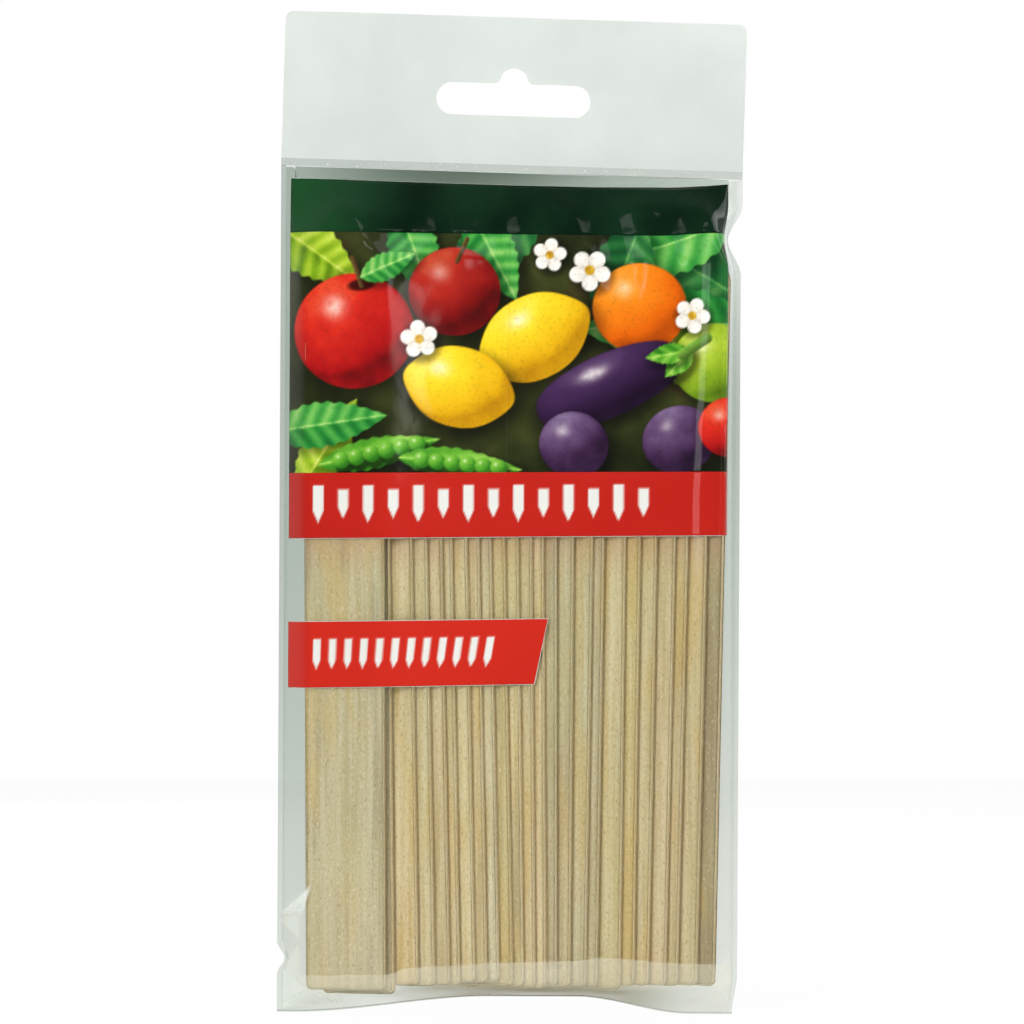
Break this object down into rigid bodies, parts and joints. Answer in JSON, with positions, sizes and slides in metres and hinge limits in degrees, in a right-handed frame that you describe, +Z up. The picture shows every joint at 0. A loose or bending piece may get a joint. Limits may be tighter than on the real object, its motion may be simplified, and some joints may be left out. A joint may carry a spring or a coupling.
{
  "type": "plant label stake pack",
  "caption": "Hanging retail pack of pointed wooden plant labels in a clear film pouch with a printed front, a white header with a hang hole and a flap at the back.",
  "frame": {"origin": "top of the hump of the header's hang hole, in the plane of the header, where a peg carries the pack", "axes": "+Z up, the way the pack hangs. +X to the right of a viewer who faces the print. -Y towards that viewer, so +Y is out of the flat back."},
  "size_m": [0.0944, 0.012, 0.2015],
  "materials": {
    "label_wood": "raw, lightly sanded",
    "clear_film": "glossy clear",
    "header_film": "pearl white",
    "seal_film": "ribbed heat seal",
    "white_ink": "glossy",
    "green_ink": "glossy",
    "picture_ink": "glossy print",
    "red_ink": "glossy",
    "tape": "matt adhesive"
  },
  "bodies": {
    "pack": {"front_panel": "clear_film", "back_panel": "clear_film", "bottom_fold": "clear_film", "side_weld_left": "clear_film", "side_weld_right": "clear_film", "header_front": "header_film", "header_back": "header_film", "header_seal": "seal_film", "print_base": "white_ink", "print_green": "green_ink", "print_picture": "picture_ink", "print_red": "red_ink", "tag_base": "white_ink", "tag_red": "red_ink"},
    "closure_flap": {"closure_flap": "clear_film", "flap_tape": "tape"},
    "label_01": {"label_01": "label_wood"},
    "label_02": {"label_02": "label_wood"},
    "label_03": {"label_03": "label_wood"},
    "label_04": {"label_04": "label_wood"},
    "label_05": {"label_05": "label_wood"},
    "label_06": {"label_06": "label_wood"},
    "label_07": {"label_07": "label_wood"},
    "label_08": {"label_08": "label_wood"},
    "label_09": {"label_09": "label_wood"},
    "label_10": {"label_10": "label_wood"},
    "label_11": {"label_11": "label_wood"},
    "label_12": {"label_12": "label_wood"},
    "label_13": {"label_13": "label_wood"},
    "label_14": {"label_14": "label_wood"},
    "label_15": {"label_15": "label_wood"},
    "label_16": {"label_16": "label_wood"},
    "label_17": {"label_17": "label_wood"},
    "label_18": {"label_18": "label_wood"},
    "label_19": {"label_19": "label_wood"},
    "label_20": {"label_20": "label_wood"},
    "label_21": {"label_21": "label_wood"},
    "label_22": {"label_22": "label_wood"},
    "label_23": {"label_23": "label_wood"},
    "label_24": {"label_24": "label_wood"}
  },
  "joints": [
    {"name": "label_01_slide", "type": "slide", "parent": "pack", "child": "label_01", "axis": [0, 0, 1], "range_m": [0, 0.0025]},
    {"name": "label_02_slide", "type": "slide", "parent": "pack", "child": "label_02", "axis": [0, 0, 1], "range_m": [0, 0.0025]},
    {"name": "label_03_slide", "type": "slide", "parent": "pack", "child": "label_03", "axis": [0, 0, 1], "range_m": [0, 0.0025]},
    {"name": "label_04_slide", "type": "slide", "parent": "pack", "child": "label_04", "axis": [0, 0, 1], "range_m": [0, 0.0025]},
    {"name": "label_05_slide", "type": "slide", "parent": "pack", "child": "label_05", "axis": [0, 0, 1], "range_m": [0, 0.0025]},
    {"name": "label_06_slide", "type": "slide", "parent": "pack", "child": "label_06", "axis": [0, 0, 1], "range_m": [0, 0.0025]},
    {"name": "label_07_slide", "type": "slide", "parent": "pack", "child": "label_07", "axis": [0, 0, 1], "range_m": [0, 0.0025]},
    {"name": "label_08_slide", "type": "slide", "parent": "pack", "child": "label_08", "axis": [0, 0, 1], "range_m": [0, 0.0025]},
    {"name": "label_09_slide", "type": "slide", "parent": "pack", "child": "label_09", "axis": [0, 0, 1], "range_m": [0, 0.0025]},
    {"name": "label_10_slide", "type": "slide", "parent": "pack", "child": "label_10", "axis": [0, 0, 1], "range_m": [0, 0.0025]},
    {"name": "label_11_slide", "type": "slide", "parent": "pack", "child": "label_11", "axis": [0, 0, 1], "range_m": [0, 0.0025]},
    {"name": "label_12_slide", "type": "slide", "parent": "pack", "child": "label_12", "axis": [0, 0, 1], "range_m": [0, 0.0025]},
    {"name": "label_13_slide", "type": "slide", "parent": "pack", "child": "label_13", "axis": [0, 0, 1], "range_m": [0, 0.0025]},
    {"name": "label_14_slide", "type": "slide", "parent": "pack", "child": "label_14", "axis": [0, 0, 1], "range_m": [0, 0.0025]},
    {"name": "label_15_slide", "type": "slide", "parent": "pack", "child": "label_15", "axis": [0, 0, 1], "range_m": [0, 0.0025]},
    {"name": "label_16_slide", "type": "slide", "parent": "pack", "child": "label_16", "axis": [0, 0, 1], "range_m": [0, 0.0025]},
    {"name": "label_17_slide", "type": "slide", "parent": "pack", "child": "label_17", "axis": [0, 0, 1], "range_m": [0, 0.0025]},
    {"name": "label_18_slide", "type": "slide", "parent": "pack", "child": "label_18", "axis": [0, 0, 1], "range_m": [0, 0.0025]},
    {"name": "label_19_slide", "type": "slide", "parent": "pack", "child": "label_19", "axis": [0, 0, 1], "range_m": [0, 0.0025]},
    {"name": "label_20_slide", "type": "slide", "parent": "pack", "child": "label_20", "axis": [0, 0, 1], "range_m": [0, 0.0025]},
    {"name": "label_21_slide", "type": "slide", "parent": "pack", "child": "label_21", "axis": [0, 0, 1], "range_m": [0, 0.0025]},
    {"name": "label_22_slide", "type": "slide", "parent": "pack", "child": "label_22", "axis": [0, 0, 1], "range_m": [0, 0.0025]},
    {"name": "label_23_slide", "type": "slide", "parent": "pack", "child": "label_23", "axis": [0, 0, 1], "range_m": [0, 0.0025]},
    {"name": "label_24_slide", "type": "slide", "parent": "pack", "child": "label_24", "axis": [0, 0, 1], "range_m": [0, 0.0025]},
    {"name": "closure_flap_hinge", "type": "hinge", "parent": "pack", "child": "closure_flap", "pos_m": [-0.00054, 0.00031, -0.02104], "axis": [0.9995, 0, -0.0314], "range_deg": [0, 150]}
  ]
}
